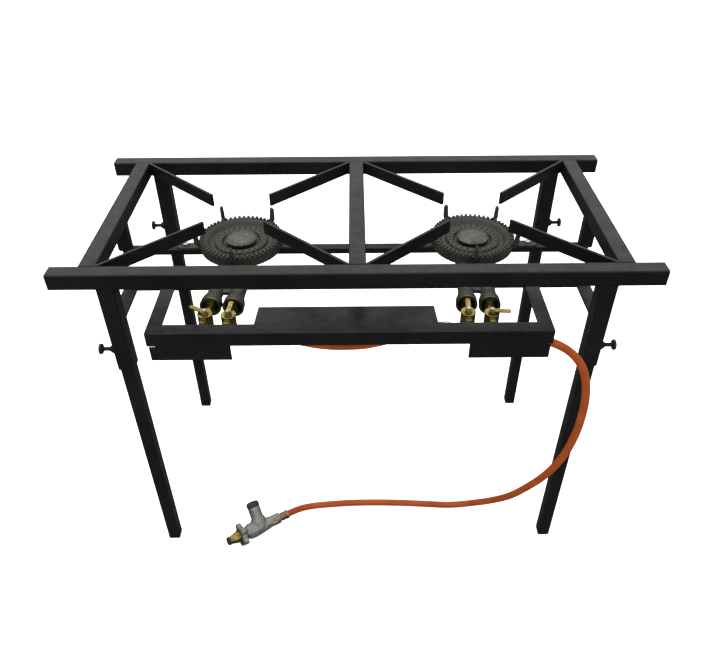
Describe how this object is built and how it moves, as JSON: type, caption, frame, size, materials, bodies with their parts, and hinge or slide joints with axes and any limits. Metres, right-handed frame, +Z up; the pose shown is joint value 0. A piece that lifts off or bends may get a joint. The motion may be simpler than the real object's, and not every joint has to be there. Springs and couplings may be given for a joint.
{
  "type": "propane burner stand",
  "caption": "Free-standing propane stove: square-tube frame on telescopic legs, ring burners with brass taps on a front frame, gas hose and regulator.",
  "frame": {"origin": "on the floor under the middle of the stand's footprint, hose and regulator left out", "axes": "+X along the long rails to the user's right, +Y away from the user, +Z up; the taps are on the -Y side"},
  "size_m": [1.04, 0.532, 0.73],
  "materials": {
    "frame_paint": "satin black paint",
    "black_plastic": "matte",
    "black_steel": "blackened steel",
    "cast_iron": "rough cast, dark olive grey",
    "burner_cap": "machined and lightly polished",
    "brass": "machined",
    "shutter_plate": "yellow passivated steel",
    "zinc_steel": "zinc plated",
    "orange_rubber": "satin orange rubber",
    "copper_plate": "copper coloured plating",
    "zinc_casting": "die-cast, satin",
    "black_rubber": "matte"
  },
  "bodies": {
    "stand": {"front_rail": "frame_paint", "back_rail": "frame_paint", "left_side_rail": "frame_paint", "right_side_rail": "frame_paint", "middle_rail": "frame_paint", "pot_supports": "frame_paint", "rail_end_plugs": "black_plastic", "leg_socket_front_left": "frame_paint", "leg_socket_front_right": "frame_paint", "leg_socket_back_left": "frame_paint", "leg_socket_back_right": "frame_paint", "clamp_bosses": "frame_paint", "cross_bar": "frame_paint", "cross_bar_hangers": "frame_paint", "lower_front_rail": "frame_paint", "lower_side_rails": "frame_paint", "lower_rear_bar": "frame_paint", "lower_ties": "frame_paint", "valve_guards": "frame_paint", "heat_shield": "frame_paint", "burner_left": "cast_iron", "burner_cap_left": "burner_cap", "gas_manifold_left": "brass", "burner_right": "cast_iron", "burner_cap_right": "burner_cap", "gas_manifold_right": "brass", "fixing_bolts": "zinc_steel", "link_hose": "orange_rubber", "gas_hose": "orange_rubber", "hose_clips": "zinc_steel", "hose_ferrule": "copper_plate", "regulator_body": "zinc_casting", "bullnose": "brass", "nose_seal": "black_rubber"},
    "leg_front_left": {"leg_front_left": "frame_paint", "foot_front_left": "black_plastic"},
    "clamp_stud_front_left": {"clamp_stud_front_left": "black_steel"},
    "clamp_knob_front_left": {"clamp_knob_front_left": "black_steel"},
    "leg_front_right": {"leg_front_right": "frame_paint", "foot_front_right": "black_plastic"},
    "clamp_stud_front_right": {"clamp_stud_front_right": "black_steel"},
    "clamp_knob_front_right": {"clamp_knob_front_right": "black_steel"},
    "leg_back_left": {"leg_back_left": "frame_paint", "foot_back_left": "black_plastic"},
    "clamp_stud_back_left": {"clamp_stud_back_left": "black_steel"},
    "clamp_knob_back_left": {"clamp_knob_back_left": "black_steel"},
    "leg_back_right": {"leg_back_right": "frame_paint", "foot_back_right": "black_plastic"},
    "clamp_stud_back_right": {"clamp_stud_back_right": "black_steel"},
    "clamp_knob_back_right": {"clamp_knob_back_right": "black_steel"},
    "tap_lever_left_outer": {"tap_lever_left_outer": "brass"},
    "air_shutter_left_outer": {"air_shutter_left_outer": "shutter_plate"},
    "tap_lever_left_inner": {"tap_lever_left_inner": "brass"},
    "air_shutter_left_inner": {"air_shutter_left_inner": "shutter_plate"},
    "tap_lever_right_inner": {"tap_lever_right_inner": "brass"},
    "air_shutter_right_inner": {"air_shutter_right_inner": "shutter_plate"},
    "tap_lever_right_outer": {"tap_lever_right_outer": "brass"},
    "air_shutter_right_outer": {"air_shutter_right_outer": "shutter_plate"},
    "hand_wheel": {"hand_wheel": "zinc_casting"},
    "adjuster_cap": {"adjuster_cap": "black_plastic"}
  },
  "joints": [
    {"name": "leg_slide_front_left", "type": "slide", "parent": "stand", "child": "leg_front_left", "axis": [0, 0, 1], "range_m": [-0.05, 0.08]},
    {"name": "clamp_turn_front_left", "type": "hinge", "parent": "clamp_stud_front_left", "child": "clamp_knob_front_left", "pos_m": [-0.465, -0.19, 0.5605], "axis": [-1, 0, 0], "range_deg": [0, 720]},
    {"name": "clamp_travel_front_left", "type": "slide", "parent": "stand", "child": "clamp_stud_front_left", "axis": [-1, 0, 0], "range_m": [0, 0.00249]},
    {"name": "leg_slide_front_right", "type": "slide", "parent": "stand", "child": "leg_front_right", "axis": [0, 0, 1], "range_m": [-0.05, 0.08]},
    {"name": "clamp_turn_front_right", "type": "hinge", "parent": "clamp_stud_front_right", "child": "clamp_knob_front_right", "pos_m": [0.465, -0.19, 0.5605], "axis": [1, 0, 0], "range_deg": [0, 720]},
    {"name": "clamp_travel_front_right", "type": "slide", "parent": "stand", "child": "clamp_stud_front_right", "axis": [1, 0, 0], "range_m": [0, 0.00249]},
    {"name": "leg_slide_back_left", "type": "slide", "parent": "stand", "child": "leg_back_left", "axis": [0, 0, 1], "range_m": [-0.05, 0.08]},
    {"name": "clamp_turn_back_left", "type": "hinge", "parent": "clamp_stud_back_left", "child": "clamp_knob_back_left", "pos_m": [-0.465, 0.242, 0.57], "axis": [-1, 0, 0], "range_deg": [0, 720]},
    {"name": "clamp_travel_back_left", "type": "slide", "parent": "stand", "child": "clamp_stud_back_left", "axis": [-1, 0, 0], "range_m": [0, 0.00249]},
    {"name": "leg_slide_back_right", "type": "slide", "parent": "stand", "child": "leg_back_right", "axis": [0, 0, 1], "range_m": [-0.05, 0.08]},
    {"name": "clamp_turn_back_right", "type": "hinge", "parent": "clamp_stud_back_right", "child": "clamp_knob_back_right", "pos_m": [0.465, 0.242, 0.57], "axis": [1, 0, 0], "range_deg": [0, 720]},
    {"name": "clamp_travel_back_right", "type": "slide", "parent": "stand", "child": "clamp_stud_back_right", "axis": [1, 0, 0], "range_m": [0, 0.00249]},
    {"name": "tap_left_outer", "type": "hinge", "parent": "stand", "child": "tap_lever_left_outer", "pos_m": [-0.26565, -0.19997, 0.6485], "axis": [0, 0, 1], "range_deg": [-65, 25]},
    {"name": "shutter_left_outer", "type": "hinge", "parent": "stand", "child": "air_shutter_left_outer", "pos_m": [-0.26295, -0.16206, 0.6345], "axis": [-0.0711, -0.9975, 0], "range_deg": [0, 75]},
    {"name": "tap_left_inner", "type": "hinge", "parent": "stand", "child": "tap_lever_left_inner", "pos_m": [-0.22475, -0.20288, 0.6485], "axis": [0, 0, 1], "range_deg": [-90, 0]},
    {"name": "shutter_left_inner", "type": "hinge", "parent": "stand", "child": "air_shutter_left_inner", "pos_m": [-0.22205, -0.16498, 0.6345], "axis": [-0.0711, -0.9975, 0], "range_deg": [0, 75]},
    {"name": "tap_right_inner", "type": "hinge", "parent": "stand", "child": "tap_lever_right_inner", "pos_m": [0.19235, -0.19997, 0.6485], "axis": [0, 0, 1], "range_deg": [0, 90]},
    {"name": "shutter_right_inner", "type": "hinge", "parent": "stand", "child": "air_shutter_right_inner", "pos_m": [0.19505, -0.16206, 0.6345], "axis": [-0.0711, -0.9975, 0], "range_deg": [0, 75]},
    {"name": "tap_right_outer", "type": "hinge", "parent": "stand", "child": "tap_lever_right_outer", "pos_m": [0.23325, -0.20288, 0.6485], "axis": [0, 0, 1], "range_deg": [0, 90]},
    {"name": "shutter_right_outer", "type": "hinge", "parent": "stand", "child": "air_shutter_right_outer", "pos_m": [0.23595, -0.16498, 0.6345], "axis": [-0.0711, -0.9975, 0], "range_deg": [0, 75]},
    {"name": "hand_wheel_turn", "type": "hinge", "parent": "stand", "child": "hand_wheel", "pos_m": [-0.26599, -0.21547, 0.02818], "axis": [-0.8151, -0.567, 0.1192], "continuous": true},
    {"name": "adjuster_turn", "type": "hinge", "parent": "stand", "child": "adjuster_cap", "pos_m": [-0.24438, -0.15986, 0.06241], "axis": [-0.321, 0.557, 0.766], "range_deg": [0, 270]}
  ],
  "couplings": [
    {"joint": "clamp_turn_front_left", "follows": "clamp_travel_front_left", "rad_per_m": 5026.5},
    {"joint": "clamp_turn_front_right", "follows": "clamp_travel_front_right", "rad_per_m": 5026.5},
    {"joint": "clamp_turn_back_left", "follows": "clamp_travel_back_left", "rad_per_m": 5026.5},
    {"joint": "clamp_turn_back_right", "follows": "clamp_travel_back_right", "rad_per_m": 5026.5}
  ]
}
